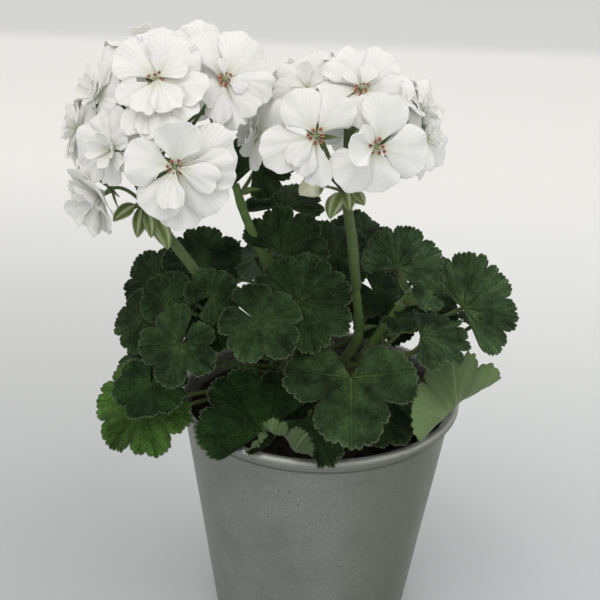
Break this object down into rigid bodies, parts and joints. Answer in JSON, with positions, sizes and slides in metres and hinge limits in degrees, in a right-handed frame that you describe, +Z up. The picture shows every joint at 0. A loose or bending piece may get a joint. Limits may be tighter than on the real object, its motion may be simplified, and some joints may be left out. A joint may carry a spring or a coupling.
{
  "type": "potted zonal geranium",
  "caption": "Bedding geranium with lobed round leaves and round heads of white double florets on upright stalks, growing in a tapered zinc pot with a rolled rim.",
  "frame": {"origin": "centre of the flat underside of the pot, where it rests", "axes": "+Z up along the axis of the pot; the front of the plant, as pictured, faces -Y"},
  "size_m": [0.198, 0.1577, 0.2873],
  "materials": {
    "zinc": "dull galvanised, faintly mottled",
    "soil": "matt, crumbly",
    "stem": "matt, green to brown",
    "leaf": "velvety, hairy",
    "stalk": "satin, finely hairy",
    "petal": "soft, translucent"
  },
  "bodies": {
    "root": {"pot": "zinc", "soil": "soil", "stem": "stem", "leaf_front_1": "leaf", "leaf_front_2": "leaf", "leaf_front_3": "leaf", "leaf_front_4": "leaf", "leaf_front_5": "leaf", "leaf_front_6": "leaf", "leaf_left_11": "leaf", "leaf_left_1": "leaf", "leaf_left_2": "leaf", "leaf_left_3": "leaf", "leaf_left_4": "leaf", "leaf_left_5": "leaf", "leaf_left_6": "leaf", "leaf_left_7": "leaf", "leaf_left_8": "leaf", "leaf_left_9": "leaf", "leaf_left_10": "leaf", "leaf_right_1": "leaf", "leaf_right_2": "leaf", "leaf_right_3": "leaf", "leaf_right_4": "leaf", "leaf_right_5": "leaf", "leaf_right_6": "leaf", "leaf_right_7": "leaf", "leaf_top_1": "leaf", "leaf_top_2": "leaf", "leaf_top_3": "leaf", "leaf_top_4": "leaf", "leaf_top_5": "leaf", "leaf_top_6": "leaf", "leaf_top_7": "leaf", "leaf_back_1": "leaf", "leaf_back_2": "leaf", "leaf_back_3": "leaf", "leaf_back_4": "leaf", "leaf_back_5": "leaf", "leaf_back_6": "leaf", "leaf_back_7": "leaf", "leaf_back_8": "leaf", "leaf_back_9": "leaf", "flower_stalk_left": "stalk", "florets_left": "petal", "flower_stalk_right": "stalk", "florets_right": "petal"}
  },
  "joints": []
}
